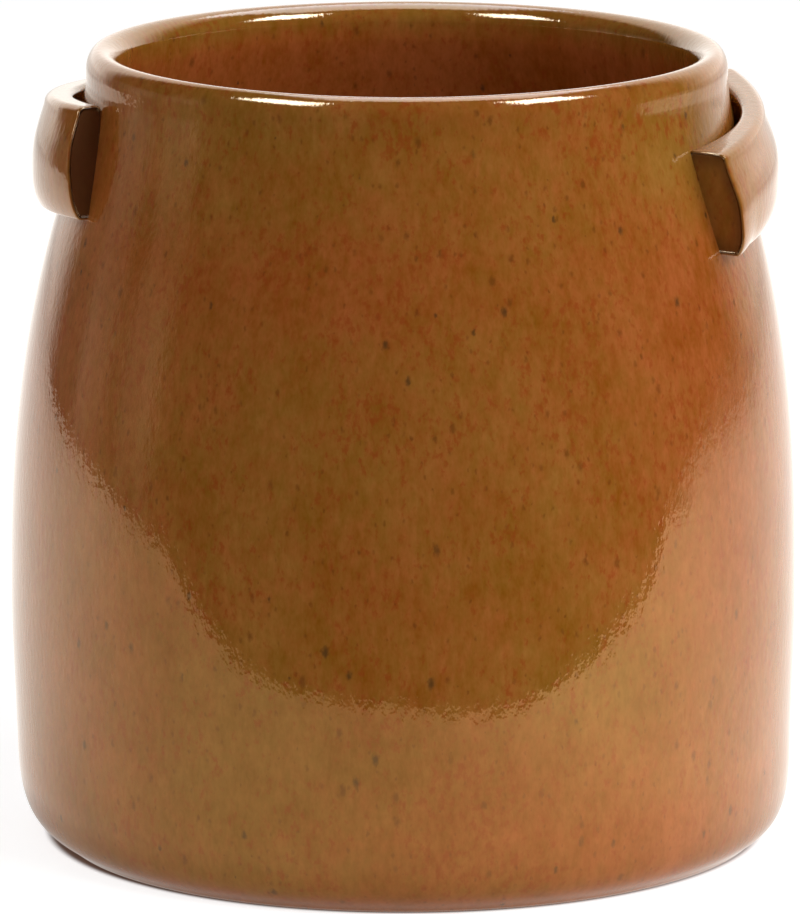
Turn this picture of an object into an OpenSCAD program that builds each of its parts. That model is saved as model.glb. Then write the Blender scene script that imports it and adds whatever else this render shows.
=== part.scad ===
// Glazed stoneware jar planter: a thrown pot with a wide straight mouth, a belly that
// swells towards a broad foot, and two clay straps pressed on under the rim as lugs.
// Millimetres. The jar stands on Z = 0, its axis is Z, and its lugs point along +X and -X.

/* [Jar] */
// Height from the resting face to the crest of the lip
jar_height = 302; // [270:1:340]
// Radius of the belly at its widest
belly_radius = 150; // [142:1:160]
// Height of the widest part of the belly
belly_height = 92; // [75:1:110]
// Radius of the resting face, inside the rounded foot edge
foot_radius = 136; // [122:1:139]
// Height over which the foot edge rounds up into the belly
foot_rise = 34; // [28:1:42]
// Radius of the jar on the shoulder, where its wall turns from swelling to hollow
shoulder_radius = 132.5; // [129:0.5:137]
// Distance from the crest of the lip down to that turn of the shoulder
shoulder_below_lip = 62; // [54:1:72]
// Slope of the wall at that turn, in degrees from upright
shoulder_slope = 16; // [10:1:20]
// Outer radius of the neck and of the lip
neck_radius = 121.5; // [116:0.5:125]
// Distance from the crest of the lip down to the foot of the upright neck
neck_below_lip = 12; // [10:1:20]

/* [Walls] */
// Thickness of the neck and of the rounded lip
lip_thickness = 12.4; // [10:0.2:14]
// Radius of the lip's outer round, which meets a wider inner round at the crest
lip_outer_round = 5; // [4:0.2:6]
// Thickness of the belly wall
wall_thickness = 9.5; // [7:0.5:12]
// Thickness of the floor, measured from the resting face
floor_thickness = 13; // [10:0.5:18]
// Radius of the rounded corner between the floor and the inside wall
floor_corner = 26; // [15:1:34]
// Depth of the turned hollow under the foot
foot_hollow_depth = 2; // [1:0.5:4]
// Width of the ring that the jar stands on
foot_ring_width = 16; // [10:1:24]
// Diameter of the drain hole through the floor
drain_diameter = 24; // [12:1:32]

/* [Lugs] */
// Distance from the crest of the lip down to the top edge of a lug
lug_below_lip = 18; // [14:1:26]
// Width of the slit between the neck and the middle of the strap, at the top edge
slit_width = 3.8; // [2.5:0.1:6]
// Depth of the slit behind the middle of the strap
slit_depth = 34; // [20:1:38]
// Half of the angle over which the slit opens, round the jar
slit_half_span = 26; // [20:0.5:27]
// Height of the strap's widest line above its lower edge
lug_bulge_height = 16; // [12:1:22]
// Half of the angle that a lug spans round the jar
lug_half_span = 27; // [26:0.5:32]
// Radius of the rounded corner along the outer top edge
lug_edge_radius = 3.6; // [1:0.2:4.6]
// Radius of the rounded corner along the lower edge
lug_foot_edge = 2.2; // [1:0.2:3.6]

/* [Left lug] */
// Height of the left strap
left_height = 42; // [38:0.5:48]
// Width of the left strap's top edge
left_top_width = 11.6; // [9:0.2:13]
// Width of the left strap's lower edge, out from the shoulder
left_foot_width = 7.8; // [4.6:0.1:10]
// How far the widest line of the left strap stands out from the shoulder behind it
left_stand = 14.2; // [11:0.2:16]
// Radius of the left strap's bend, seen from above, at its widest line
left_bend_radius = 113; // [100:1:150]
// Tilt of the left lug, front end down, in degrees
left_tilt = -3; // [-10:1:10]
// Distance by which the left lug sits lower than the height set for both
left_drop = 0; // [0:0.5:6]
// Lean of the left strap's end cuts, lower edge left longer, in degrees
left_cut_lean = 8; // [-12:1:12]

/* [Right lug] */
// Height of the right strap
right_height = 39.5; // [38:0.5:48]
// Width of the right strap's top edge
right_top_width = 9.8; // [9:0.2:13]
// Width of the right strap's lower edge, out from the shoulder
right_foot_width = 8; // [4.6:0.1:10]
// How far the widest line of the right strap stands out from the shoulder behind it
right_stand = 14; // [11:0.2:16]
// Radius of the right strap's bend, seen from above, at its widest line
right_bend_radius = 170; // [110:1:180]
// Tilt of the right lug, front end down, in degrees
right_tilt = 6; // [-10:1:10]
// Distance by which the right lug sits lower than the height set for both
right_drop = 4.4; // [0:0.2:6]
// Lean of the right strap's end cuts, lower edge left longer, in degrees
right_cut_lean = -3; // [-12:1:12]

/* [Hidden] */
$fn = 96;

glaze_color = "#9a6422";
lug_color = "#8a541c";

foot_steps = 8;                 // straight steps in each rounded stretch of the outline
wall_steps = 12;
lip_steps = 12;
edge_steps = 5;
face_steps = 8;

neck_height = jar_height - neck_below_lip;
shoulder_height = jar_height - shoulder_below_lip;
lip_inner_round = lip_thickness - lip_outer_round;
lug_top = jar_height - lug_below_lip;

// How far each curve runs on in its end direction, as a part of the height it climbs
belly_ease = 0.30;
shoulder_ease = 0.38;
hollow_ease = 0.20;
neck_ease = 0.15;
foot_ease = 0.88;
foot_slope = 45;                // the foot edge leaves the table at this angle
foot_chamfer = 8;               // length over which it keeps to that angle
foot_inset = 1.5;               // the wall above the foot edge is this much inside the belly
edge_turn = 15;                 // the top edge's rounding starts at this angle
slit_edge = 2.8;                // rounding of the strap's top edge along the slit
slit_root = 10;                 // the slit's cut runs on this far down inside the jar's wall
lug_root = 14;                  // the strap's section runs on this far inside the neck
end_trim = 12;                  // extra angle of strap that the end cuts take off

// Point at t on the curve from a to d that leaves towards b and arrives from c
function curve_point(a, b, c, d, t) =
    pow(1 - t, 3) * a + 3 * pow(1 - t, 2) * t * b + 3 * (1 - t) * t * t * c + pow(t, 3) * d;

// The curve in equal steps of t, without its first point
function curve(a, b, c, d, steps) =
    [for (i = [1:steps]) curve_point(a, b, c, d, i / steps)];

// Points of an arc, from one angle to another, both ends included
function arc(centre, radius, from, to, steps) =
    [for (i = [0:steps])
        let (angle = from + (to - from) * i / steps)
        centre + radius * [cos(angle), sin(angle)]];

// Side of the jar from the top of the foot edge to the foot of the neck, as [radius, height].
// The wall inset thins the belly and the neck inset thins the neck, so the same curve
// draws the outside, with no insets, and the inside.
function side(wall_inset, neck_inset) =
    let (
        low = [belly_radius - foot_inset - wall_inset, foot_rise],
        belly = [belly_radius - wall_inset, belly_height],
        turn = [shoulder_radius - (wall_inset + neck_inset) / 2, shoulder_height],
        neck = [neck_radius - neck_inset, neck_height],
        lean = [-tan(shoulder_slope), 1],
        low_climb = belly_height - foot_rise,
        belly_climb = shoulder_height - belly_height,
        neck_climb = neck_height - shoulder_height
    )
    concat(
        [low],
        curve(low, low + [0, belly_ease * low_climb],
              belly - [0, belly_ease * low_climb], belly, foot_steps),
        curve(belly, belly + [0, belly_ease * belly_climb],
              turn - shoulder_ease * belly_climb * lean, turn, wall_steps),
        curve(turn, turn + hollow_ease * neck_climb * lean,
              neck - [0, neck_ease * neck_climb], neck, foot_steps)
    );

// Rounded edge between the resting face and the side
foot_edge = curve(
    [foot_radius, 0],
    [foot_radius, 0] + foot_chamfer * [cos(foot_slope), sin(foot_slope)],
    [belly_radius - foot_inset, (1 - foot_ease) * foot_rise],
    [belly_radius - foot_inset, foot_rise],
    foot_steps);

outer_side = side(0, 0);
inner_side = side(wall_thickness, lip_thickness);

// Outer radius of the jar at a height, read off the same outline
function outer_radius(height) =
    lookup(height, [for (p = concat(foot_edge, outer_side)) [p[1], p[0]]]);

// The outside of the jar as one full solid, without its hollow
module jar_outside() {
    rotate_extrude()
        polygon(concat(
            [[0, 0], [foot_radius, 0]],
            foot_edge,
            [for (i = [1:len(outer_side) - 1]) outer_side[i]],
            arc([neck_radius - lip_outer_round, jar_height - lip_outer_round],
                lip_outer_round, 0, 90, lip_steps),
            [[0, jar_height]]
        ));
}

// The room inside the jar, open at the mouth
module jar_inside() {
    inner_foot = inner_side[0];
    corner_start = [inner_foot[0] - floor_corner, floor_thickness];
    corner_end = [inner_foot[0], floor_thickness + floor_corner];
    corner = [inner_foot[0], floor_thickness];
    lip_inside = neck_radius - lip_thickness;
    rotate_extrude()
        polygon(concat(
            [[0, floor_thickness], corner_start],
            curve(corner_start, (corner_start + corner) / 2, (corner + corner_end) / 2,
                  corner_end, foot_steps),
            [for (p = inner_side) if (p[1] > corner_end[1] + 1) p],
            arc([lip_inside + lip_inner_round, jar_height - lip_inner_round],
                lip_inner_round, 180, 90, lip_steps),
            [[lip_inside + lip_inner_round, jar_height + 1], [0, jar_height + 1]]
        ));
}

// The thrown jar: floor, foot ring, belly, neck and rounded lip in one piece of clay
module jar_body() {
    color(glaze_color)
        difference() {
            jar_outside();
            jar_inside();
            translate([0, 0, -1])
                cylinder(r = foot_radius - foot_ring_width, h = foot_hollow_depth + 1);
            translate([0, 0, -1])
                cylinder(d = drain_diameter, h = floor_thickness + 2);
        }
}

// Section of the clay strap, as [distance from the jar's axis, height]: an outer face that
// bulges between a rounded top edge and a rounded lower edge. It runs on into the jar,
// where the jar's outside cuts it off.
module lug_section(height, top_width, foot_width, stand) {
    lug_bottom = lug_top - height;
    foot_corner = [outer_radius(lug_bottom) + foot_width, lug_bottom];
    foot_centre = foot_corner + lug_foot_edge * [-1, 1];
    foot_turn = -30;            // the lower edge's rounding ends at this angle
    foot_end = foot_centre + lug_foot_edge * [cos(foot_turn), sin(foot_turn)];
    bulge = [outer_radius(lug_bottom + lug_bulge_height) + stand,
             lug_bottom + lug_bulge_height];
    top_corner = [outer_radius(lug_top) + slit_width + top_width, lug_top];
    top_centre = top_corner - lug_edge_radius * [1, 1];
    face_top = top_corner - [0, lug_edge_radius];
    low_climb = bulge[1] - foot_end[1];
    high_climb = face_top[1] - bulge[1];
    inner = outer_radius(lug_top) - lug_root;
    polygon(concat(
        [[inner, lug_top], [inner, lug_bottom]],
        arc(foot_centre, lug_foot_edge, -90, foot_turn, edge_steps),
        curve(foot_end, foot_end + 0.3 * low_climb * [-sin(foot_turn), cos(foot_turn)],
              bulge - [0, 0.5 * low_climb], bulge, face_steps),
        curve(bulge, bulge + [0, 0.4 * high_climb],
              face_top + [0.12, -0.4] * high_climb, face_top, face_steps),
        arc(top_centre, lug_edge_radius, edge_turn, 90, edge_steps - 1)
    ));
}

// The slit between the neck and the strap: part of a round cone that is flatter than the
// jar, so it is widest and deepest at the middle of the lug and runs out at both ends
module lug_slit() {
    neck_side = outer_radius(lug_top);
    widest = neck_side + slit_width;
    slit_centre = (widest * widest - neck_side * neck_side)
        / (2 * (widest - neck_side * cos(slit_half_span)));
    top_radius = widest - slit_centre;
    flare = (outer_radius(lug_top - slit_depth) - widest) / slit_depth;
    cut_depth = slit_depth + slit_root;
    bottom = [top_radius + flare * cut_depth, lug_top - cut_depth];
    translate([slit_centre, 0, 0])
        rotate_extrude()
            polygon(concat(
                [[0, bottom[1]], bottom],
                arc([top_radius + slit_edge, lug_top - slit_edge], slit_edge, 180, 90, edge_steps),
                [[top_radius + slit_edge, lug_top + 1], [0, lug_top + 1]]
            ));
}

// The strap bent round a centre of its own, level, with both ends cut off
module strap(height, top_width, foot_width, stand, bend_radius, cut_lean) {
    lug_middle = lug_top - height / 2;
    bend_centre = outer_radius(lug_top - height + lug_bulge_height) + stand - bend_radius;
    seat = outer_radius(lug_middle) * [cos(lug_half_span), sin(lug_half_span)];
    end_angle = atan2(seat[1], seat[0] - bend_centre);
    block = 3 * height;
    difference() {
        translate([bend_centre, 0, 0])
            rotate([0, 0, -end_angle - end_trim])
                rotate_extrude(angle = 2 * (end_angle + end_trim))
                    translate([-bend_centre, 0])
                        lug_section(height, top_width, foot_width, stand);
        for (end = [-1, 1])
            translate([bend_centre, 0, lug_middle])
                rotate([end * cut_lean, 0, end * end_angle])
                    translate([0, end < 0 ? -block : 0, -block / 2])
                        cube([2 * bend_radius, block, block]);
    }
}

// Tilts a lug, or the slit behind it, about the line out from the jar's axis, and lowers it
module pressed_on(height, tilt, drop) {
    lug_middle = lug_top - height / 2;
    translate([0, 0, lug_middle - drop])
        rotate([tilt, 0, 0])
            translate([0, 0, -lug_middle])
                children();
}

// One lug on +X: the strap cut to the outside of the jar, with the slit behind it
module lug(height, top_width, foot_width, stand, bend_radius, tilt, drop, cut_lean) {
    color(lug_color)
        difference() {
            pressed_on(height, tilt, drop)
                strap(height, top_width, foot_width, stand, bend_radius, cut_lean);
            jar_outside();
            pressed_on(height, tilt, drop)
                lug_slit();
        }
}

module lug_left() {
    rotate([0, 0, 180])
        lug(left_height, left_top_width, left_foot_width, left_stand, left_bend_radius,
            -left_tilt, left_drop, left_cut_lean);
}

module lug_right() {
    lug(right_height, right_top_width, right_foot_width, right_stand, right_bend_radius,
        right_tilt, right_drop, right_cut_lean);
}

jar_body();
lug_left();
lug_right();
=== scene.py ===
"""Glazed stoneware pot planter with two clay strap lugs: surfaces, glaze, studio and camera.

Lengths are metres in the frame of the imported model: the pot stands on Z = 0 with its axis
on Z, and its lugs point along +X and -X.
"""

import bpy
import numpy as np
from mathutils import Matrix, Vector


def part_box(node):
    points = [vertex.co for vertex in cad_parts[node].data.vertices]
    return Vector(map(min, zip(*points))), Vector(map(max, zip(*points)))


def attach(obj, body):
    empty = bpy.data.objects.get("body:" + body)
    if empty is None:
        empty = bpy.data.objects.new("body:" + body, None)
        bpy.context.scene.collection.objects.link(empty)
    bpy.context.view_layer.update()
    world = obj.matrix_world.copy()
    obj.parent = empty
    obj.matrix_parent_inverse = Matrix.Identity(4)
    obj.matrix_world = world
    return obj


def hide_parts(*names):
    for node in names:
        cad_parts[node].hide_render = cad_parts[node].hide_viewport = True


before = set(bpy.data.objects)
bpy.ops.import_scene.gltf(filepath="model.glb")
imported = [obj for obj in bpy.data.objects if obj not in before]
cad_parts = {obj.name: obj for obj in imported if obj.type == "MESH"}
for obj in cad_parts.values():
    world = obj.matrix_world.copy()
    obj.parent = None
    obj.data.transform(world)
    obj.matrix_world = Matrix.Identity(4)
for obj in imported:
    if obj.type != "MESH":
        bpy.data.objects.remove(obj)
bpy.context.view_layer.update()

MM = 0.001

# ---------------------------------------------------------------------------------------
# Sizes of the pot, in metres
# ---------------------------------------------------------------------------------------

JAR_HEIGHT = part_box("jar_body")[1].z
BELLY_RADIUS = 150 * MM
BELLY_HEIGHT = 92 * MM
FOOT_RADIUS = 136 * MM
FOOT_RISE = 34 * MM
FOOT_INSET = 1.5 * MM           # the wall above the foot edge is this much inside the belly
FOOT_CHAMFER = 8 * MM           # length over which the foot edge leaves the table at 45 degrees
FOOT_EASE = 0.88                # share of its rise over which the foot edge turns upright
SHOULDER_RADIUS = 132.5 * MM
SHOULDER_HEIGHT = JAR_HEIGHT - 62 * MM
SHOULDER_SLOPE = np.radians(16)
NECK_RADIUS = 121.5 * MM
NECK_HEIGHT = JAR_HEIGHT - 12 * MM
LIP_THICKNESS = 12.4 * MM
LIP_OUTER_ROUND = 5 * MM        # the lip's outer round is a quarter of an oval, this wide
LIP_OUTER_RISE = 8 * MM         # and this high; it meets the inner round at the crest
LIP_INNER_ROUND = LIP_THICKNESS - LIP_OUTER_ROUND
WALL_THICKNESS = 9.5 * MM
FLOOR_THICKNESS = 13 * MM
FLOOR_CORNER = 26 * MM          # reach of the curve between the floor and the inside wall
HOLLOW_DEPTH = 2 * MM           # the turned hollow under the foot
HOLLOW_RADIUS = FOOT_RADIUS - 16 * MM
HOLLOW_FLARE = 1 * MM           # it is this much wider at the table
DRAIN_RADIUS = 12 * MM
DRAIN_EDGE = 1.5 * MM           # rounding of the drain hole's upper edge

# Reach of the handles of the side's curves, as shares of the height that each one climbs
BELLY_EASE, SHOULDER_EASE, HOLLOW_EASE, NECK_EASE = 0.30, 0.38, 0.20, 0.15

# What the hand left: the rim leans to the right and dips at the front, and the foot is
# rounder at the left
RIM_LEAN = 1.3 * MM
RIM_DIP = 0.7 * MM
RIM_DIP_SPREAD = np.radians(35)
SOFT_FOOT_DEPTH = 4.2 * MM
SOFT_FOOT_HEIGHT = 14 * MM
SOFT_FOOT_ANGLE = np.radians(185)
SOFT_FOOT_SPREAD = np.radians(40)
WOBBLE = 0.15 * MM

ROUND_STEPS = 320               # quads round the pot

# Lugs
LUG_TOP = JAR_HEIGHT - 18 * MM
LUG_BULGE_HEIGHT = 16 * MM
LUG_HALF_SPAN = np.radians(27)
LUG_EDGE = 3.6 * MM             # rounding of the strap's top edge
LUG_FOOT_EDGE = 2.2 * MM        # rounding of the strap's lower edge
LUG_ROOT = 5 * MM               # the strap runs on this far into the jar's wall
LUG_CUT_EDGE = 0.8 * MM         # rounding round the cut ends
SLIT_WIDTH = 3.8 * MM
SLIT_DEPTH = 34 * MM
SLIT_HALF_SPAN = np.radians(26)
SLIT_EDGE = 2.8 * MM
CAP_RINGS = (0.93, 0.6, 0.25)   # scale of the rings that close a cut end

# Each lug as it was pressed on: the height and the top and lower widths of its strap, how
# far it stands out, the radius of its bend, its tilt with the front end down, how much
# lower it sits, the lean of its end cuts, how far the knife nipped in the top corners and
# pressed out the lower corners of its ends, the side it is on, and how dark the thin
# glaze is along the border and in the middle of its cut ends
LEFT_LUG = {"height": 42 * MM, "top_width": 11.6 * MM, "foot_width": 7.8 * MM,
            "stand": 14.2 * MM, "bend": 113 * MM, "tilt": np.radians(3), "drop": 0.0,
            "cut_lean": np.radians(8), "end_nip": 1 * MM, "end_swell": 0.0,
            "turn": np.pi, "end_dark": (1.0, 1.0)}
RIGHT_LUG = {"height": 39.5 * MM, "top_width": 9.8 * MM, "foot_width": 8 * MM,
             "stand": 14.0 * MM, "bend": 170 * MM, "tilt": np.radians(6), "drop": 4.4 * MM,
             "cut_lean": np.radians(-3), "end_nip": 0.0, "end_swell": 1.8 * MM,
             "turn": 0.0, "end_dark": (0.8, 0.35)}

# The camera: it looks at the pot from this much to the right of -Y and this much above
# the horizon, towards a point this high and this far to the right of the pot's axis
VIEW_TURN = np.radians(4.0)
VIEW_LIFT = np.radians(11.55)
CAMERA_DISTANCE = 3.2445
AIM_HEIGHT = 143.75 * MM
AIM_SIDEWAYS = -1.3 * MM
FOCAL_PIXELS = 8500             # its focal length, in pixels of a picture this many tall
PICTURE_PIXELS = 914
SENSOR_SIZE = 36                # in millimetres, as Blender's lens lengths are


# ---------------------------------------------------------------------------------------
# Mesh helpers
# ---------------------------------------------------------------------------------------

def bezier(a, b, c, d, steps):
    """Points of the cubic curve from a to d that leaves towards b and arrives from c:
    (1-t)^3 a + 3 (1-t)^2 t b + 3 (1-t) t^2 c + t^3 d, without its first point."""
    t = np.linspace(0, 1, steps + 1)[1:, None]
    a, b, c, d = (np.asarray(p, float) for p in (a, b, c, d))
    return (1 - t) ** 3 * a + 3 * (1 - t) ** 2 * t * b + 3 * (1 - t) * t ** 2 * c + t ** 3 * d


def arc(centre, radius, start, end, steps, rise=None):
    """Points on a circle, or on an oval of another rise: centre + (radius cos a,
    rise sin a), with a from start to end degrees."""
    a = np.radians(np.linspace(start, end, steps + 1))
    return np.asarray(centre) + np.stack([radius * np.cos(a), (rise or radius) * np.sin(a)],
                                         axis=-1)


def line(start, end, steps):
    """Evenly spaced points from start to end, without the first one."""
    t = np.linspace(0, 1, steps + 1)[1:, None]
    return np.asarray(start) * (1 - t) + np.asarray(end) * t


def smoothstep(low, high, x):
    """0 below low, 1 above high, and 3 t^2 - 2 t^3 between them. With low above high it
    falls from 1 to 0 instead."""
    t = np.clip((x - low) / (high - low), 0, 1)
    return t * t * (3 - 2 * t)


def grid_faces(rows, columns, close_rows, close_columns):
    """Quads of a grid of rows by columns points, in row order, joined end to start
    where it closes."""
    i = np.arange(rows if close_rows else rows - 1)
    j = np.arange(columns if close_columns else columns - 1)
    i, j = np.meshgrid(i, j, indexing="ij")
    i2, j2 = (i + 1) % rows, (j + 1) % columns
    quads = [i * columns + j, i * columns + j2, i2 * columns + j2, i2 * columns + j]
    return np.stack(quads, axis=-1).reshape(-1, 4)


def make_piece(name, points, faces, material, smooth=True):
    """A mesh object at the origin from an array of points and a list of faces."""
    mesh = bpy.data.meshes.new(name)
    mesh.from_pydata(points.reshape(-1, 3).tolist(), [], [list(map(int, f)) for f in faces])
    mesh.polygons.foreach_set("use_smooth", np.full(len(mesh.polygons), smooth))
    mesh.update()
    piece = bpy.data.objects.new(name, mesh)
    bpy.context.scene.collection.objects.link(piece)
    piece.data.materials.append(material)
    return piece


def point_value(piece, name, values):
    """Stores one number for each point of a piece, for its material to read."""
    attribute = piece.data.attributes.new(name, "FLOAT", "POINT")
    attribute.data.foreach_set("value", np.asarray(values, np.float32).ravel())


# ---------------------------------------------------------------------------------------
# The jar
# ---------------------------------------------------------------------------------------

def side_curve(wall_inset, neck_inset, steps=(24, 44, 24)):
    """Side of the jar as (radius, height): three cubic curves through the top of the foot
    edge, the widest belly, the turn of the shoulder and the foot of the neck. The insets
    thin the belly and the neck for the inside."""
    low = np.array([BELLY_RADIUS - FOOT_INSET - wall_inset, FOOT_RISE])
    belly = np.array([BELLY_RADIUS - wall_inset, BELLY_HEIGHT])
    turn = np.array([SHOULDER_RADIUS - (wall_inset + neck_inset) / 2, SHOULDER_HEIGHT])
    neck = np.array([NECK_RADIUS - neck_inset, NECK_HEIGHT])
    up = np.array([0, 1])
    lean = np.array([-np.tan(SHOULDER_SLOPE), 1])
    low_climb = belly[1] - low[1]
    belly_climb = turn[1] - belly[1]
    neck_climb = neck[1] - turn[1]
    return np.vstack([
        low,
        bezier(low, low + BELLY_EASE * low_climb * up, belly - BELLY_EASE * low_climb * up,
               belly, steps[0]),
        bezier(belly, belly + BELLY_EASE * belly_climb * up,
               turn - SHOULDER_EASE * belly_climb * lean, turn, steps[1]),
        bezier(turn, turn + HOLLOW_EASE * neck_climb * lean, neck - NECK_EASE * neck_climb * up,
               neck, steps[2]),
    ])


def foot_curve(steps=18):
    """Rounded foot edge as (radius, height): a cubic curve that leaves the table at 45
    degrees and ends upright."""
    slope = np.array([1, 1]) / np.sqrt(2)
    start = np.array([FOOT_RADIUS, 0])
    wall = BELLY_RADIUS - FOOT_INSET
    return bezier(start, start + FOOT_CHAMFER * slope, [wall, (1 - FOOT_EASE) * FOOT_RISE],
                  [wall, FOOT_RISE], steps)


OUTER_SIDE = side_curve(0, 0)
OUTLINE = np.vstack([[FOOT_RADIUS, 0], foot_curve(), OUTER_SIDE[1:]])


def outer_radius(height):
    """Outer radius of the jar at a height, read off its outline."""
    return np.interp(height, OUTLINE[:, 1], OUTLINE[:, 0])


def jar_profile():
    """The jar's whole section as one closed loop of (radius, height): foot ring, foot edge,
    side, rounded lip, inside wall, floor corner, floor, drain hole and foot hollow."""
    inner = side_curve(WALL_THICKNESS, LIP_THICKNESS)
    crest = NECK_RADIUS - LIP_OUTER_ROUND
    corner = np.array([inner[0][0], FLOOR_THICKNESS])
    corner_in = corner - [FLOOR_CORNER, 0]
    corner_up = corner + [0, FLOOR_CORNER]
    inner_wall = inner[inner[:, 1] > corner_up[1] + MM]
    hollow_rim = [HOLLOW_RADIUS + HOLLOW_FLARE, 0]
    return np.vstack([
        line(hollow_rim, [FOOT_RADIUS, 0], 4),
        foot_curve(),
        OUTER_SIDE[1:],
        arc([crest, JAR_HEIGHT - LIP_OUTER_RISE], LIP_OUTER_ROUND, 0, 90, 18, LIP_OUTER_RISE),
        arc([crest, JAR_HEIGHT - LIP_INNER_ROUND], LIP_INNER_ROUND, 90, 180, 18)[1:],
        inner_wall[::-1][1:],
        bezier(corner_up, (corner_up + corner) / 2, (corner + corner_in) / 2, corner_in, 12),
        line(corner_in, [DRAIN_RADIUS + DRAIN_EDGE, FLOOR_THICKNESS], 16),
        arc([DRAIN_RADIUS + DRAIN_EDGE, FLOOR_THICKNESS - DRAIN_EDGE], DRAIN_EDGE, 90, 180, 5)[1:],
        line([DRAIN_RADIUS, FLOOR_THICKNESS - DRAIN_EDGE], [DRAIN_RADIUS, HOLLOW_DEPTH], 4),
        line([DRAIN_RADIUS, HOLLOW_DEPTH], [HOLLOW_RADIUS, HOLLOW_DEPTH], 10),
        line([HOLLOW_RADIUS, HOLLOW_DEPTH], hollow_rim, 2),
    ])


def by_hand(points):
    """The maker's unevenness on points of the pot: the wall wavers inwards by up to
    WOBBLE, the foot edge is rounder round SOFT_FOOT_ANGLE, the rim leans to +X in step
    with the height above the belly, and it dips round the front, by a bell curve."""
    x, y, z = points[..., 0], points[..., 1], points[..., 2]
    angle = np.arctan2(y, x)
    crest = 2.6                     # the most that the three waves add up to
    waver = (np.sin(2 * angle + 9 * z + 0.7) + np.sin(3 * angle - 21 * z + 2.1)
             + 0.6 * np.sin(5 * angle + 47 * z) - crest) / (2 * crest)
    turn = np.angle(np.exp(1j * (angle - SOFT_FOOT_ANGLE)))
    soft = np.exp(-(turn / SOFT_FOOT_SPREAD) ** 2) * np.exp(-z / SOFT_FOOT_HEIGHT)
    radius = np.hypot(x, y)
    outside = smoothstep(FOOT_RADIUS - 14 * MM, FOOT_RADIUS - 2 * MM, radius)
    inward = WOBBLE * waver * smoothstep(0, 20 * MM, z) - SOFT_FOOT_DEPTH * soft * outside
    scale = 1 + inward / np.maximum(radius, MM)
    lean = RIM_LEAN * smoothstep(BELLY_HEIGHT, JAR_HEIGHT, z)
    front = np.angle(np.exp(1j * (angle + np.pi / 2))) / RIM_DIP_SPREAD
    dip = RIM_DIP * np.exp(-front ** 2) * smoothstep(SHOULDER_HEIGHT, JAR_HEIGHT, z)
    return np.stack([x * scale + lean, y * scale, z - dip], axis=-1)


# Broad drifts of the glaze over the jar: angle round from the camera's side and height of
# each middle, in degrees and millimetres, spread both ways, and how far it turns from
# olive to rust
DRIFTS = [
    (50, 216, 14, 34, 0.20), (-32, 231, 28, 17, 0.15), (8, 236, 60, 22, 0.08),
    (54, 165, 14, 62, 0.20), (34, 22, 24, 20, 0.22), (-70, 190, 18, 60, 0.10),
    (57, 274, 17, 20, -0.28), (-19, 290, 30, 13, -0.12), (-29, 66, 20, 48, -0.18),
    (28, 84, 13, 20, -0.16), (-33, 166, 9, 15, -0.12), (4, 130, 16, 40, -0.05),
    (150, 120, 40, 60, 0.15), (-140, 240, 40, 40, 0.12), (180, 60, 30, 30, -0.15),
]
FOOT_RUST = 0.35
INSIDE_RUST, LIP_OLIVE = 0.32, 0.48
INSIDE_DEPTH = 6 * MM           # what lies this far in from the outline is inside the jar
LUG_DRIFT = -0.05


def drift_at(points):
    """How far the glaze turns to rust at points of the jar: the sum of the DRIFTS, each
    exp(-(angle off / spread)^2 - (height off / spread)^2) times its amount, and more
    rust on the foot edge. Inside, it is olive under the lip and rust further down."""
    angle = np.arctan2(points[..., 0], -points[..., 1]) - VIEW_TURN
    height = points[..., 2] / MM
    drift = np.zeros(angle.shape)
    for middle, level, wide, tall, amount in DRIFTS:
        off = np.degrees(np.angle(np.exp(1j * (angle - np.radians(middle)))))
        drift += amount * np.exp(-(off / wide) ** 2 - ((height - level) / tall) ** 2)
    drift += FOOT_RUST * smoothstep(9, 2, height)
    within = INSIDE_RUST - LIP_OLIVE * smoothstep(283, 298, height)
    radius = np.hypot(points[..., 0], points[..., 1])
    return np.where(radius < outer_radius(points[..., 2]) - INSIDE_DEPTH, within, drift)


def make_jar(material):
    """The jar: its section turned about Z, (r cos a, r sin a, z), then made uneven."""
    profile = jar_profile()
    angle = np.linspace(0, 2 * np.pi, ROUND_STEPS, endpoint=False)
    radius, height = profile[:, 0], profile[:, 1]
    points = np.stack([
        np.outer(np.cos(angle), radius),
        np.outer(np.sin(angle), radius),
        np.tile(height, (ROUND_STEPS, 1)),
    ], axis=-1)
    faces = grid_faces(ROUND_STEPS, len(profile), True, True)[:, ::-1]
    jar = make_piece("thrown_jar", by_hand(points), faces, material)
    point_value(jar, "drift", drift_at(points))
    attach(jar, "root")
    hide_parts("jar_body")
    return jar


# ---------------------------------------------------------------------------------------
# The lugs
# ---------------------------------------------------------------------------------------

def middle_height(lug):
    """Height of the middle of a strap before it is tilted and lowered."""
    bottom = LUG_TOP - lug["height"]
    return (LUG_TOP + bottom) / 2


def strap_bend(lug):
    """Where a strap's bend centre lies on the line out from the jar's axis, and the angle
    about it of the strap's end, which sits on the jar LUG_HALF_SPAN round."""
    bulge_height = LUG_TOP - lug["height"] + LUG_BULGE_HEIGHT
    bend_centre = outer_radius(bulge_height) + lug["stand"] - lug["bend"]
    seat = (outer_radius(middle_height(lug))
            * np.array([np.cos(LUG_HALF_SPAN), np.sin(LUG_HALF_SPAN)]))
    return bend_centre, np.arctan2(seat[1], seat[0] - bend_centre)


def seated(lug, y, height):
    """Where points of the upright strap come to sit on the jar, as y and height: tilted
    by t about the line out at the strap's middle height m, and lowered,
    (y cos t - (h - m) sin t, y sin t + (h - m) cos t + m - drop)."""
    middle = middle_height(lug)
    above = height - middle
    cos, sin = np.cos(lug["tilt"]), np.sin(lug["tilt"])
    return y * cos - above * sin, y * sin + above * cos + middle - lug["drop"]


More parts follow.
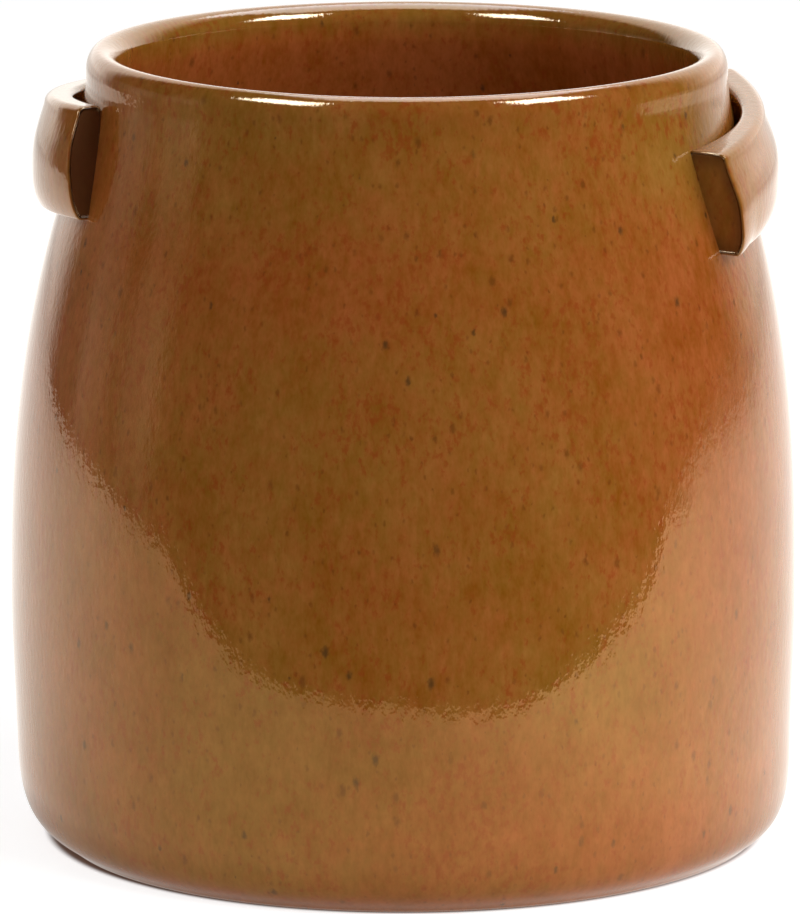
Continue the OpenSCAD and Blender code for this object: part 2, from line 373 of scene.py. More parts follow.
def slit_face(bend_centre, angle, height):
    """Distance from the strap's bend centre, in the direction angle, of the slit's face:
    a round cone about an axis of its own that is widest at the middle of the lug."""
    neck_side = outer_radius(LUG_TOP)
    widest = neck_side + SLIT_WIDTH
    axis = ((widest ** 2 - neck_side ** 2)
            / (2 * (widest - neck_side * np.cos(SLIT_HALF_SPAN))))
    flare = (outer_radius(LUG_TOP - SLIT_DEPTH) - widest) / SLIT_DEPTH
    below_top = LUG_TOP - height
    rounding = SLIT_EDGE - below_top
    edge = np.where(rounding > 0,
                    SLIT_EDGE - np.sqrt(np.maximum(SLIT_EDGE ** 2 - rounding ** 2, 0)), 0)
    cone = widest - axis + flare * below_top + edge
    # the point bend_centre + rho (cos, sin) lies at the cone's radius from its axis
    offset = bend_centre - axis
    along = offset * np.cos(angle)
    return -along + np.sqrt(along ** 2 - offset ** 2 + cone ** 2)


def inner_edge(lug, bend_centre, angle, level):
    """Distance from the bend centre of a strap's inner edge, at angles about it and at
    heights: the slit's face or, where that lies deeper, just inside the jar's wall, which
    is found by stepping towards it."""
    inner = np.broadcast_to(outer_radius(level), angle.shape) - bend_centre
    for _ in range(4):
        x = bend_centre + inner * np.cos(angle)
        y, height = seated(lug, inner * np.sin(angle), level)
        wall = outer_radius(height) - LUG_ROOT
        inner = inner + wall - np.hypot(x, y)
    return np.maximum(inner, slit_face(bend_centre, angle, level))


def strap_outer_face(lug):
    """Outer face of the strap as (radius, height), from the lower edge to the top edge:
    a rounded lower corner, two cubic curves over the bulge and a rounded top corner. The
    curves' handles reach over shares of the height that each one climbs."""
    bottom = LUG_TOP - lug["height"]
    foot_turn, top_turn = -30, 15       # where the rounded corners meet the curves
    foot_corner = np.array([outer_radius(bottom) + lug["foot_width"], bottom])
    foot_centre = foot_corner + LUG_FOOT_EDGE * np.array([-1, 1])
    foot_cos, foot_sin = np.cos(np.radians(foot_turn)), np.sin(np.radians(foot_turn))
    foot_end = foot_centre + LUG_FOOT_EDGE * np.array([foot_cos, foot_sin])
    bulge_height = bottom + LUG_BULGE_HEIGHT
    bulge = np.array([outer_radius(bulge_height) + lug["stand"], bulge_height])
    top_corner = np.array([outer_radius(LUG_TOP) + SLIT_WIDTH + lug["top_width"], LUG_TOP])
    top_centre = top_corner - LUG_EDGE
    face_top = top_corner - [0, LUG_EDGE]
    low_climb = bulge[1] - foot_end[1]
    high_climb = face_top[1] - bulge[1]
    away = np.array([-foot_sin, foot_cos])
    up = np.array([0, 1])
    return np.vstack([
        arc(foot_centre, LUG_FOOT_EDGE, -90, foot_turn, 8),
        bezier(foot_end, foot_end + 0.3 * low_climb * away, bulge - 0.5 * low_climb * up,
               bulge, 14),
        bezier(bulge, bulge + 0.4 * high_climb * up,
               face_top + high_climb * np.array([0.12, -0.4]), face_top, 16),
        arc(top_centre, LUG_EDGE, top_turn, 90, 8)[1:],
    ])


def strap_stations(reach):
    """Distances of a strap's sections along its bend from the middle, from one cut end to
    the other, and how far each is rounded in, by a quarter of a circle at the ends."""
    turn = np.radians(np.linspace(0, 90, 6))
    from_end = LUG_CUT_EDGE * (1 - np.cos(turn))
    inset = LUG_CUT_EDGE * (1 - np.sin(turn))
    middle = np.linspace(-reach + LUG_CUT_EDGE, reach - LUG_CUT_EDGE, 61)[1:-1]
    station = np.concatenate([-reach + from_end, middle, (reach - from_end)[::-1]])
    return station, np.concatenate([inset, np.zeros(len(middle)), inset[::-1]])


def strap_sections(lug, bend_centre, end_angle, share):
    """Sections of a strap as distances from the bend centre and heights, a row for each
    share of the way to its ends: the outer face upwards, the top, the inner edge down and
    the root below it. The corners are nipped in and pressed out towards the ends."""
    bottom = LUG_TOP - lug["height"]
    level = np.concatenate([
        LUG_TOP - SLIT_EDGE * (1 - np.cos(np.linspace(0, np.pi / 2, 6)))[:-1],
        np.linspace(LUG_TOP - SLIT_EDGE, bottom, 26),
    ])
    angle = share[:, None] * end_angle * np.ones(len(level))
    inner = inner_edge(lug, bend_centre, angle, level)
    face = strap_outer_face(lug)
    outer = np.tile(face[:, 0] - bend_centre, (len(share), 1))
    outer_level = np.tile(face[:, 1], (len(share), 1))
    up = (outer_level - bottom) / lug["height"]
    outer += smoothstep(0.72, 1, abs(share))[:, None] * (
        lug["end_swell"] * smoothstep(0.75, 0, up)
        - lug["end_nip"] * smoothstep(0.66, 1, up))
    top_run = np.linspace(0, 1, 5)[1:-1]
    top = outer[:, -1:] * (1 - top_run) + inner[:, :1] * top_run
    foot_run = np.linspace(0, 1, 6)[1:-1]
    foot = inner[:, -1:] * (1 - foot_run) + outer[:, :1] * foot_run
    return np.concatenate([outer, top, inner, foot], axis=1), np.concatenate([
        outer_level,
        np.full(top.shape, LUG_TOP),
        np.tile(level, (len(share), 1)),
        np.full(foot.shape, bottom),
    ], axis=1)


def end_cap(ring, first, start, flip):
    """Points and faces that close a cut end: rings that shrink from its border to its
    middle, and a face in the last. The border's points are numbered from first and the
    rings' from start."""
    around = len(ring)
    tall_middle = (ring[np.argmin(ring[:, 2])] + ring[np.argmax(ring[:, 2])]) / 2
    centre = ring.mean(axis=0) * 0.5 + tall_middle * 0.5
    points = np.concatenate([centre + (ring - centre) * scale for scale in CAP_RINGS])
    starts = [first] + [start + k * around for k in range(len(CAP_RINGS))]
    faces = []
    for a, b in zip(starts, starts[1:]):
        for j in range(around):
            j2 = (j + 1) % around
            faces.append((a + j, a + j2, b + j2, b + j))
    faces.append(tuple(range(starts[-1], starts[-1] + around)))
    return points, [face[::-1] for face in faces] if flip else faces


def make_lug(name, node, lug, material):
    """A strap: its sections carried round its own bend centre from one cut end to the
    other, rounded in at both ends, closed by flat caps, then seated on the jar and turned
    to its side of it."""
    bend_centre, end_angle = strap_bend(lug)
    reach = end_angle * lug["bend"]
    station, insets = strap_stations(reach)
    share = station / reach
    rho, height = strap_sections(lug, bend_centre, end_angle, share)

    # round the section in towards the cut ends, along its own outward normals
    d_rho = np.roll(rho, -1, axis=1) - np.roll(rho, 1, axis=1)
    d_height = np.roll(height, -1, axis=1) - np.roll(height, 1, axis=1)
    length = np.maximum(np.hypot(d_rho, d_height), 1e-9)
    rho = rho - insets[:, None] * d_height / length
    height = height + insets[:, None] * d_rho / length

    # the cut planes lean, so the strap's angle depends on the height
    shift = -np.tan(lug["cut_lean"]) * (height - middle_height(lug))
    theta = share[:, None] * (end_angle + np.arcsin(np.clip(shift / rho, -1, 1)))
    points = np.stack([bend_centre + rho * np.cos(theta), rho * np.sin(theta), height], -1)

    stations, around = rho.shape
    faces = [tuple(f) for f in grid_faces(stations, around, False, True)]
    caps = []
    for end, flip in ((0, False), (stations - 1, True)):
        start = (stations + len(caps) * len(CAP_RINGS)) * around
        cap_points, cap_faces = end_cap(points[end], end * around, start, flip)
        caps.append(cap_points)
        faces += cap_faces
    points = np.concatenate([points.reshape(-1, 3), *caps])

    x = points[:, 0]
    y, z = seated(lug, points[:, 1], points[:, 2])
    cos, sin = np.cos(lug["turn"]), np.sin(lug["turn"])
    points = np.stack([x * cos - y * sin, x * sin + y * cos, z], axis=-1)
    piece = make_piece(name, by_hand(points), faces, material)

    # how dark the thin glaze is: at the border up to the caps' first ring, then inside
    border, inside = lug["end_dark"]
    rings = border * np.clip(insets / LUG_CUT_EDGE, 0, 1)
    cap = np.repeat([border, inside, inside], around)
    point_value(piece, "cut_end", np.concatenate([np.repeat(rings, around), cap, cap]))
    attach(piece, "root")
    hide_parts(node)
    return piece


# ---------------------------------------------------------------------------------------
# Glaze
# ---------------------------------------------------------------------------------------

# Colours in sRGB
OLIVE = (130, 88, 30)
RUST = (143, 75, 31)
FLECK = (132, 52, 17)
SPECK = (94, 50, 17)
IRON = (66, 44, 24)
THIN_GLAZE = (44, 23, 16)       # on the cut ends, where the glaze ran off

GLAZE_IOR = 1.75
AMBER = (1.0, 0.62, 0.30, 1.0)  # tint of the reflections
SKIN_DEPTH = 0.014 * MM         # depth of the ripples for a height of 1

# Layers of specks: cells per metre, share of the cells that hold one, its largest radius
# in cells, how much it covers and its colour
SPECK_LAYERS = [(300, 0.60, 0.36, 0.45, "Speck"), (150, 0.45, 0.30, 0.60, "Speck"),
                (95, 0.45, 0.20, 0.75, "Iron")]

FLOAT, COLOUR, VECTOR = "NodeSocketFloat", "NodeSocketColor", "NodeSocketVector"


def new_node(tree, kind, **settings):
    """A node of that type in the tree, with its settings and unlinked input values."""
    node = tree.nodes.new(kind)
    for name, value in settings.items():
        if hasattr(node, name):
            setattr(node, name, value)
        else:
            node.inputs[name.replace("_", " ")].default_value = value
    return node


def feed(tree, value, socket):
    """Gives a socket its value: a link from another socket, or a constant."""
    if isinstance(value, bpy.types.NodeSocket):
        tree.links.new(value, socket)
    else:
        socket.default_value = value


def colour(red, green, blue):
    """An sRGB colour of 0 to 255 as the linear values that sockets take."""
    srgb = np.array([red, green, blue]) / 255
    linear = np.where(srgb <= 0.04045, srgb / 12.92, ((srgb + 0.055) / 1.055) ** 2.4)
    return (*map(float, linear), 1.0)


def noise(tree, vector, scale, detail=2.0, roughness=0.5):
    """A 3-D noise texture over the vector, with its scale in cells per metre."""
    node = new_node(tree, "ShaderNodeTexNoise", Scale=scale, Detail=detail, Roughness=roughness)
    tree.links.new(vector, node.inputs["Vector"])
    return node.outputs["Fac"]


def ramp(tree, value, low, high):
    """0 where the value is below low, 1 above high, smooth between."""
    node = new_node(tree, "ShaderNodeMapRange", interpolation_type="SMOOTHSTEP")
    node.inputs["From Min"].default_value = low
    node.inputs["From Max"].default_value = high
    tree.links.new(value, node.inputs["Value"])
    return node.outputs["Result"]


def mix_colour(tree, factor, first, second):
    """Mix of two colours, each a socket or a value, by a factor socket or a number."""
    node = new_node(tree, "ShaderNodeMix", data_type="RGBA")
    for value, index in ((factor, 0), (first, 6), (second, 7)):
        feed(tree, value, node.inputs[index])
    return node.outputs[2]


def math_node(tree, operation, first, second=0.0, third=None, clamp=False):
    """Result of a math node on two or three values, each a socket or a number."""
    node = new_node(tree, "ShaderNodeMath", operation=operation, use_clamp=clamp)
    feed(tree, first, node.inputs[0])
    feed(tree, second, node.inputs[1])
    if third is not None:
        feed(tree, third, node.inputs[2])
    return node.outputs[0]


def vector_math(tree, operation, *values):
    """Result of a vector math node on its inputs, each a socket or three numbers."""
    node = new_node(tree, "ShaderNodeVectorMath", operation=operation)
    for value, socket in zip(values, node.inputs):
        feed(tree, value, socket)
    return node.outputs[0]


def stretch(tree, vector, scale):
    """The vector with each part multiplied by its own number."""
    return vector_math(tree, "MULTIPLY", vector, scale)


def centred(tree, value, reach):
    """The value less one half, times the reach."""
    return math_node(tree, "MULTIPLY", math_node(tree, "SUBTRACT", value, 0.5), reach)


def new_group(name, inputs, outputs):
    """An empty shader node group with its named sockets, as (tree, inputs, outputs)."""
    tree = bpy.data.node_groups.new(name, "ShaderNodeTree")
    for socket, kind, default in inputs:
        made = tree.interface.new_socket(name=socket, in_out="INPUT", socket_type=kind)
        if default is not None:
            made.default_value = default
    for socket, kind in outputs:
        tree.interface.new_socket(name=socket, in_out="OUTPUT", socket_type=kind)
    return tree, tree.nodes.new("NodeGroupInput").outputs, tree.nodes.new("NodeGroupOutput").inputs


def make_specks_group():
    """Specks: small soft spots at random places, one in a share of the cells of a Voronoi
    pattern, as a mask. Their size varies from cell to cell."""
    tree, given, made = new_group(
        "glaze_specks",
        [("Vector", VECTOR, None), ("Cells per metre", FLOAT, 100.0), ("Share", FLOAT, 0.3),
         ("Size", FLOAT, 0.3)],
        [("Mask", FLOAT)])
    cells = new_node(tree, "ShaderNodeTexVoronoi", feature="F1")
    tree.links.new(given["Vector"], cells.inputs["Vector"])
    tree.links.new(given["Cells per metre"], cells.inputs["Scale"])
    lots = new_node(tree, "ShaderNodeSeparateColor")
    tree.links.new(cells.outputs["Color"], lots.inputs[0])
    chosen = math_node(tree, "LESS_THAN", lots.outputs["Red"], given["Share"])
    vary = math_node(tree, "MULTIPLY_ADD", lots.outputs["Green"], 0.7, 0.3)
    reach = math_node(tree, "MULTIPLY", given["Size"], vary)
    inside = math_node(tree, "SUBTRACT", 1.0,
                       math_node(tree, "DIVIDE", cells.outputs["Distance"], reach), clamp=True)
    soft = ramp(tree, inside, 0.0, 0.8)
    tree.links.new(math_node(tree, "MULTIPLY", soft, chosen), made["Mask"])
    return tree


def make_glaze_group(specks):
    """The mottled glaze. Broad drifts turn it from olive brown to rust, and a mottling,
    taller than it is wide, breaks up both. Over them lie fine streaks that ran down in
    the firing, soft red-brown flecks, small brown specks and a few dark iron ones. Puts
    out the colour, the roughness and the height of the skin."""
    tree, given, made = new_group(
        "mottled_glaze",
        [("Vector", VECTOR, None), ("Olive", COLOUR, None), ("Rust", COLOUR, None),
         ("Fleck", COLOUR, None), ("Speck", COLOUR, None), ("Iron", COLOUR, None),
         ("Drift", FLOAT, 0.0)],
        [("Color", COLOUR), ("Roughness", FLOAT), ("Height", FLOAT)])
    vector = given["Vector"]
    tall = stretch(tree, vector, (1, 1, 0.62))
    broad = centred(tree, noise(tree, vector, 14), 0.45)
    mottle = noise(tree, tall, 150, detail=4, roughness=0.62)
    turned = math_node(tree, "ADD", math_node(tree, "ADD", broad, given["Drift"]),
                       centred(tree, mottle, 0.55))
    blend = ramp(tree, turned, -0.32, 0.32)
    base = mix_colour(tree, blend, given["Olive"], given["Rust"])

    # lighter and darker places at every size, and the streaks; both change the blue most
    streaks = noise(tree, stretch(tree, vector, (1, 1, 0.4)), 380, roughness=0.7)
    clouds = noise(tree, tall, 34, detail=5, roughness=0.85)
    shade = math_node(tree, "ADD", centred(tree, streaks, 0.55), centred(tree, clouds, 1.35))
    tone = new_node(tree, "ShaderNodeVectorMath", operation="SCALE")
    tone.inputs[0].default_value = (0.75, 0.9, 2.3)
    tree.links.new(shade, tone.inputs["Scale"])
    base = vector_math(tree, "MULTIPLY_ADD", base, tone.outputs[0], base)

    # the flecks gather in some places and are rare in others
    gather = centred(tree, noise(tree, vector, 38, detail=1), 0.30)
    flecks = noise(tree, tall, 340, detail=3, roughness=0.65)
    fleck_mask = ramp(tree, math_node(tree, "ADD", flecks, gather), 0.50, 0.74)
    base = mix_colour(tree, math_node(tree, "MULTIPLY", fleck_mask, 0.6), base, given["Fleck"])

    # ragged specks: their pattern is read through a slightly shaken vector
    shake = new_node(tree, "ShaderNodeTexNoise", Scale=900.0, Detail=1.0)
    tree.links.new(tall, shake.inputs["Vector"])
    shaken = vector_math(tree, "MULTIPLY_ADD", shake.outputs["Color"],
                         (0.0013, 0.0013, 0.0013), tall)
    for cells, share, size, cover, tint in SPECK_LAYERS:
        spots = tree.nodes.new("ShaderNodeGroup")
        spots.node_tree = specks
        tree.links.new(shaken, spots.inputs["Vector"])
        spots.inputs["Cells per metre"].default_value = cells
        spots.inputs["Share"].default_value = share
        spots.inputs["Size"].default_value = size
        mask = math_node(tree, "MULTIPLY", spots.outputs["Mask"], cover)
        base = mix_colour(tree, mask, base, given[tint])
    tree.links.new(base, made["Color"])

    gloss = math_node(tree, "ADD", centred(tree, clouds, 0.05), 0.055)
    tree.links.new(gloss, made["Roughness"])

    # the skin: slow swells, a fine peel of short runs that make the edge of a reflection
    # ragged at the sides of the pot, and faint rings from the throwing
    swells = math_node(tree, "MULTIPLY", noise(tree, vector, 55), 0.8)
    runs = noise(tree, stretch(tree, vector, (1, 1, 0.55)), 400, roughness=0.6)
    peel = math_node(tree, "MULTIPLY", runs, 6.5)
    turning = noise(tree, stretch(tree, vector, (0.2, 0.2, 1)), 210)
    rings = math_node(tree, "MULTIPLY", turning, 0.35)
    skin = math_node(tree, "ADD", math_node(tree, "ADD", swells, peel), rings)
    tree.links.new(skin, made["Height"])
    return tree


def make_glaze(name, group, drift):
    """A glossy glaze material: the mottled group's colour under a clear, slightly rippled
    glass skin whose reflection is tinted amber, except where it is seen edge on. The
    drift is a number, or the name of the attribute that holds it."""
    material = bpy.data.materials.new(name)
    material.use_nodes = True
    tree = material.node_tree
    tree.nodes.clear()
    output = tree.nodes.new("ShaderNodeOutputMaterial")
    shader = tree.nodes.new("ShaderNodeBsdfPrincipled")
    tree.links.new(shader.outputs[0], output.inputs["Surface"])
    place = tree.nodes.new("ShaderNodeTexCoord")
    mottle = tree.nodes.new("ShaderNodeGroup")
    mottle.node_tree = group
    tree.links.new(place.outputs["Object"], mottle.inputs["Vector"])
    for socket, tint in (("Olive", OLIVE), ("Rust", RUST), ("Fleck", FLECK),
                         ("Speck", SPECK), ("Iron", IRON)):
        mottle.inputs[socket].default_value = colour(*tint)
    if isinstance(drift, str):
        drift = new_node(tree, "ShaderNodeAttribute", attribute_name=drift).outputs["Fac"]
    feed(tree, drift, mottle.inputs["Drift"])
    tree.links.new(mottle.outputs["Color"], shader.inputs["Base Color"])
    tree.links.new(mottle.outputs["Roughness"], shader.inputs["Roughness"])
    bump = new_node(tree, "ShaderNodeBump", Strength=1.0, Distance=SKIN_DEPTH)
    tree.links.new(mottle.outputs["Height"], bump.inputs["Height"])
    tree.links.new(bump.outputs[0], shader.inputs["Normal"])
    shader.inputs["IOR"].default_value = GLAZE_IOR
    shader.inputs["Specular Tint"].default_value = AMBER
    return material, tree, shader, mottle


def make_lug_glaze(group):
    """The jar's glaze on a lug, darker, redder and less glossy where it is thin on the
    cut ends."""
    material, tree, shader, mottle = make_glaze("lug_glaze", group, LUG_DRIFT)
    cut = new_node(tree, "ShaderNodeAttribute", attribute_name="cut_end")
    thin = mix_colour(tree, math_node(tree, "MULTIPLY", cut.outputs["Fac"], 0.85),
                      mottle.outputs["Color"], colour(*THIN_GLAZE))
    tree.links.new(thin, shader.inputs["Base Color"])
    dull = math_node(tree, "MULTIPLY_ADD", cut.outputs["Fac"], 0.2, mottle.outputs["Roughness"])
    tree.links.new(dull, shader.inputs["Roughness"])
    return material


# ---------------------------------------------------------------------------------------
# Studio, laid out from the camera's side: right, away and up
# ---------------------------------------------------------------------------------------

PAPER_DEPTH = 0.2 * MM          # the paper lies this far under the foot
GROUND_DEPTH = 2 * MM
GROUND_REACH = 14.0
ROOM_RADIUS = 9.0
LAMP_AIM = 200 * MM             # height on the pot's axis that the lamps face

# The paper's colour as the camera and as the rest sees it, its lift to white for the
# camera, which grows over this distance out from the foot, and the tint of its glow for
# the rest
PAPER_SEEN, PAPER_UNSEEN = (0.46, 0.46, 0.46, 1), (0.2, 0.19, 0.18, 1)
PAPER_LIFT = 0.80
LIFT_FADE = 3 * MM
PAPER_WARMTH = (1.0, 0.97, 0.92, 1)

# Front edge of the paper, right and away, whose line shows in the glaze as the edge of the
# dark, and its back edge
PAPER_FRONT = np.array([(-1.88, 0.55), (-1.575, 0.02), (-1.05, -0.40), (-0.3, -0.41),
                        (0, -0.432), (0.195, -0.368), (0.377, -0.37), (0.533, -0.33),
                        (0.713, -0.27), (1.605, -0.26), (3.12, 0.087), (4, 0.4)])
PAPER_BACK = 3

# Pale strips of stands against the wall at the left: azimuth and elevation of each middle,
# half width and brightness, all of one height
STANDS = [(112, 1, 4, 0.3), (91, 2, 3.5, 0.3), (83, 4, 3.5, 0.5), (104, 4, 5, 0.25),
          (79, 15, 3, 0.2), (89, 15, 4, 0.25)]
STAND_HEIGHT = 9
SIDE_BOX_SOFT = 9               # degrees over which the edges of the side boxes fade
WARM_WHITE, COOL_WHITE = (1.0, 0.96, 0.9), (0.75, 1.0, 1.4)

WORLD_FILL = 0.3


def placed(right, away, up):
    """World coordinates of places given by how far they lie to the camera's right, away
    from it and up."""
    cos, sin = np.cos(VIEW_TURN), np.sin(VIEW_TURN)
    right, away, up = np.broadcast_arrays(right, away, up)
    return np.stack([right * cos - away * sin, right * sin + away * cos, up], axis=-1)


def toward(azimuth, elevation, distance):
    """The place that far from the foot of the pot, in a direction given in degrees: the
    azimuth from the camera's side towards its right, and the elevation."""
    a, e = np.radians(azimuth), np.radians(elevation)
    return placed(distance * np.sin(a) * np.cos(e), -distance * np.cos(a) * np.cos(e),
                  distance * np.sin(e))


def stage_sheet(name, points, faces, material):
    """A piece of the studio, which isn't part of the object."""
    sheet = make_piece(name, np.asarray(points, float), faces, material, smooth=False)
    return sheet


def make_paper(name, shine=None):
    """Matt white paper. The camera sees it lifted to white, except right at the foot, with
    the pot's shadow left in. The pot sees it as bright as its attribute says, and some
    more where lamps reach it."""
    material = bpy.data.materials.new(name)
    material.use_nodes = True
    tree = material.node_tree
    shader = tree.nodes["Principled BSDF"]
    shader.inputs["Roughness"].default_value = 1.0
    shader.inputs["Specular IOR Level"].default_value = 0.0
    seen = tree.nodes.new("ShaderNodeLightPath").outputs["Is Camera Ray"]
    tree.links.new(mix_colour(tree, seen, PAPER_UNSEEN, PAPER_SEEN), shader.inputs["Base Color"])
    place = tree.nodes.new("ShaderNodeTexCoord")
    level = stretch(tree, place.outputs["Object"], (1, 1, 0))
    from_axis = new_node(tree, "ShaderNodeVectorMath", operation="LENGTH")
    tree.links.new(level, from_axis.inputs[0])
    clear = ramp(tree, from_axis.outputs["Value"], FOOT_RADIUS - MM, FOOT_RADIUS + LIFT_FADE)
    lift = math_node(tree, "MULTIPLY", math_node(tree, "MULTIPLY", seen, clear), PAPER_LIFT)
    if shine:
        bright = new_node(tree, "ShaderNodeAttribute", attribute_name=shine)
        unseen = math_node(tree, "SUBTRACT", 1.0, seen)
        lift = math_node(tree, "ADD", lift,
                         math_node(tree, "MULTIPLY", unseen, bright.outputs["Fac"]))
    tree.links.new(mix_colour(tree, seen, PAPER_WARMTH, (1, 1, 1, 1)),
                   shader.inputs["Emission Color"])
    tree.links.new(lift, shader.inputs["Emission Strength"])
    return material


def paper_shine(right, away):
    """How bright the paper looks in the glaze at places on it, painted into its glow: brighter on
    the right, less so at the back of it, and at the back left. It fades with the distance, more
    slowly behind the pot, and has the pot's shade painted in close to the foot."""
    far = np.hypot(right, away)
    behind = smoothstep(115, 140, np.abs(np.degrees(np.arctan2(right, -away))))
    # painted light in the paper's glow: more at the right and the back left, less at the back
    # right
    right_side = 0.95 * smoothstep(-0.02, 0.30, right)
    back_left = 0.55 * smoothstep(-0.3, 0.15, away) * smoothstep(0.1, -0.4, right)
    back_right = 0.3 * smoothstep(-0.1, 0.2, away) * smoothstep(0, 0.3, right)
    # painted shade of the pot round its foot, deeper at the left
    shade = (0.5 - 0.22 * smoothstep(-0.1, 0.1, right)) * smoothstep(0.185, 0.145, far)
    fading = (0.8 - 0.45 * behind) * smoothstep(0.9, 3.2, far)
    return (0.85 + right_side + back_left - back_right) * (1 - shade) * (1 - fading)


def make_paper_sheet():
    """The sheet that the pot stands on, as a grid squeezed between its front and its back
    edge: a place is (right, front(right) + t^2 (back - front(right))). It melts into the
    dark at its front edge, more slowly at the left."""
    right = np.concatenate([np.linspace(-1.88, -0.8, 28)[:-1], np.linspace(-0.8, 0.9, 137)[:-1],
                            np.linspace(0.9, 4, 32)])
    front = np.interp(right, PAPER_FRONT[:, 0], PAPER_FRONT[:, 1])
    t = np.linspace(0, 1, 140)[:, None]
    away = front + t ** 2 * (PAPER_BACK - front)
    right = np.broadcast_to(right, away.shape)
    sheet = stage_sheet("paper_sheet", placed(right, away, -PAPER_DEPTH),
                        grid_faces(*away.shape, False, False),
                        make_paper("white_paper", "shine"))
    melt = smoothstep(0, 0.35, away - front + 1.5 * smoothstep(1.3, 0.9, right))
    # the paper's glow for the glaze, with its painted light and shade
    point_value(sheet, "shine", paper_shine(right, away) * melt)


def make_ground():
    """White ground under and round the paper, which only the camera sees."""
    corners = [(x * GROUND_REACH, y * GROUND_REACH, -GROUND_DEPTH)
               for x, y in ((-1, -1), (1, -1), (1, 1), (-1, 1))]
    ground = stage_sheet("ground", corners, [(0, 1, 2, 3)], make_paper("white_ground"))
    ground.visible_glossy = ground.visible_diffuse = False


def oblong(across, low, high, soft):
    """1 between two edges and 0 outside them, smooth over the soft distance within."""
    return smoothstep(low, low + soft, across) * smoothstep(high, high - soft, across)


def room_shine(azimuth, elevation):
    """Colour and brightness of the room as the glaze sees it, by direction in degrees. In
    a warm white: a dim room, a wall behind the pot, brightest above the paper, and a grey
    wall at the left with the STANDS. In a cool white: a soft box at each side of the
    camera, and one overhead, an oblong on a level plane above the pot."""
    off = np.abs(azimuth)
    left = azimuth < 0
    wall = np.where(left, smoothstep(126, 146, off), smoothstep(110, 144, off))
    wall *= 1.3 + 0.6 * smoothstep(0, 6, elevation)
    wall *= 1 - 0.4 * smoothstep(154, 180, off) * smoothstep(2, -4, elevation)
    wall *= smoothstep(66, 46, elevation)
    grey = 0.15 * smoothstep(64, 82, off) * smoothstep(14, 8, elevation)
    for middle, level, half, bright in STANDS:
        grey += bright * np.exp(-((off - middle) / half) ** 2
                                - ((elevation - level) / STAND_HEIGHT) ** 2)
    grey = np.where(left, grey, 0)
    low = 0.9 * smoothstep(2, -5, elevation) * smoothstep(96, 112, np.where(left, 0, off))
    warm = np.maximum.reduce([0.04 + 0 * wall, wall, grey, low])

    spread = np.tan(np.radians(np.clip(90 - elevation, 0, 80)))
    right = spread * np.sin(np.radians(azimuth))
    away = -spread * np.cos(np.radians(azimuth))
    overhead = 5.5 * oblong(right, -0.34, 0.56, 0.14) * oblong(away, -0.22, 0.95, 0.2)
    side_rise = oblong(elevation, 33, 60, SIDE_BOX_SOFT)
    left_box = 32 * oblong(azimuth, -74, -34, SIDE_BOX_SOFT) * side_rise
    right_box = 36 * oblong(azimuth, 41, 80, SIDE_BOX_SOFT) * side_rise
    cool = overhead + left_box + right_box
    return warm[..., None] * WARM_WHITE + cool[..., None] * COOL_WHITE


def make_room():
    """The room as the glaze sees it: a wide dome of directions, each with its own light."""
    azimuth = np.arange(-180, 180, 1.5)
    elevation = np.linspace(-60, 90, 101)
    azimuth, elevation = np.meshgrid(azimuth, elevation, indexing="ij")
    material = bpy.data.materials.new("room_light")
    material.use_nodes = True
    tree = material.node_tree
    tree.nodes.clear()
    glow = tree.nodes.new("ShaderNodeEmission")
    bright = new_node(tree, "ShaderNodeAttribute", attribute_name="shine")
    output = tree.nodes.new("ShaderNodeOutputMaterial")
    tree.links.new(bright.outputs["Color"], glow.inputs["Color"])
    tree.links.new(glow.outputs[0], output.inputs[0])
    room = stage_sheet("room", toward(azimuth, elevation, ROOM_RADIUS),
                       grid_faces(*azimuth.shape, True, False), material)
    shine = room_shine(azimuth, elevation).reshape(-1, 3)
    attribute = room.data.attributes.new("shine", "FLOAT_COLOR", "POINT")
    attribute.data.foreach_set("color", np.insert(shine, 3, 1.0, axis=1).ravel())
    room.visible_camera = room.visible_diffuse = room.visible_shadow = False
    room.visible_transmission = False


def lamp(name, azimuth, elevation, distance, size, brightness):
    """A soft box that faces the pot from a direction, of a width and height and with the
    brightness of its face, whose power is brightness times area times pi. The room's dome
    holds what the glaze sees of the lamps."""
    light = bpy.data.lights.new(name, "AREA")
    light.shape = "RECTANGLE"
    light.size, light.size_y = size
    light.energy = brightness * size[0] * size[1] * np.pi
    box = bpy.data.objects.new(name, light)
    bpy.context.scene.collection.objects.link(box)
    aim = Vector((0, 0, LAMP_AIM))
    box.location = Vector(toward(azimuth, elevation, distance)) + aim
    box.rotation_euler = (box.location - aim).to_track_quat("Z", "Y").to_euler()
    box.visible_camera = box.visible_glossy = False


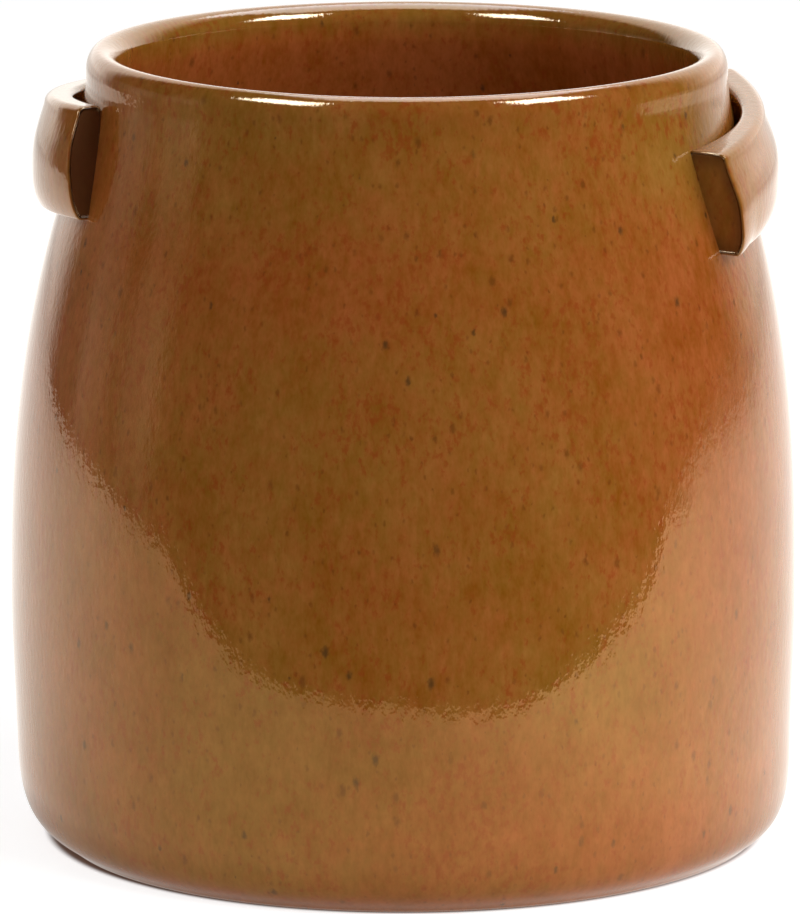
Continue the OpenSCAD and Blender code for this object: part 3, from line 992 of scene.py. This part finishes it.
def make_world():
    """White for the camera, and a soft even fill for the rest."""
    world = bpy.data.worlds.new("room")
    bpy.context.scene.world = world
    world.use_nodes = True
    tree = world.node_tree
    tree.nodes.clear()
    paths = tree.nodes.new("ShaderNodeLightPath")
    fill = new_node(tree, "ShaderNodeBackground", Color=(1, 1, 1, 1), Strength=WORLD_FILL)
    white = new_node(tree, "ShaderNodeBackground", Color=(1, 1, 1, 1), Strength=1.0)
    either = tree.nodes.new("ShaderNodeMixShader")
    output = tree.nodes.new("ShaderNodeOutputWorld")
    tree.links.new(paths.outputs["Is Camera Ray"], either.inputs[0])
    tree.links.new(fill.outputs[0], either.inputs[1])
    tree.links.new(white.outputs[0], either.inputs[2])
    tree.links.new(either.outputs[0], output.inputs[0])


def make_camera():
    """The photograph's view: from a little above the rim, a long way off."""
    right = Vector(placed(1.0, 0.0, 0.0))
    back = Vector(toward(0, np.degrees(VIEW_LIFT), 1.0))
    aim = Vector((0, 0, AIM_HEIGHT)) + right * AIM_SIDEWAYS
    data = bpy.data.cameras.new("camera")
    data.sensor_width = SENSOR_SIZE
    data.sensor_fit = "AUTO"
    data.lens = FOCAL_PIXELS / PICTURE_PIXELS * SENSOR_SIZE
    data.clip_start, data.clip_end = 0.1, 60
    camera = bpy.data.objects.new("camera", data)
    bpy.context.scene.collection.objects.link(camera)
    camera.location = aim + back * CAMERA_DISTANCE
    camera.rotation_mode = "QUATERNION"
    camera.rotation_quaternion = (-back).to_track_quat("-Z", "Y")
    bpy.context.scene.camera = camera


# ---------------------------------------------------------------------------------------
# The pot in its studio
# ---------------------------------------------------------------------------------------

glaze_group = make_glaze_group(make_specks_group())
jar_glaze = make_glaze("jar_glaze", glaze_group, "drift")[0]
lug_glaze = make_lug_glaze(glaze_group)

make_jar(jar_glaze)
make_lug("left_strap", "lug_left", LEFT_LUG, lug_glaze)
make_lug("right_strap", "lug_right", RIGHT_LUG, lug_glaze)

make_paper_sheet()
make_ground()
make_room()
lamp("left_box", -45, 42, 2.2, (1.4, 1.2), 1.7)
lamp("right_box", 55, 42, 2.2, (1.4, 1.2), 6.6)
lamp("side_box", 90, 20, 2.4, (1.2, 1.2), 3.3)
make_world()
make_camera()
bpy.context.scene.view_settings.view_transform = "Standard"
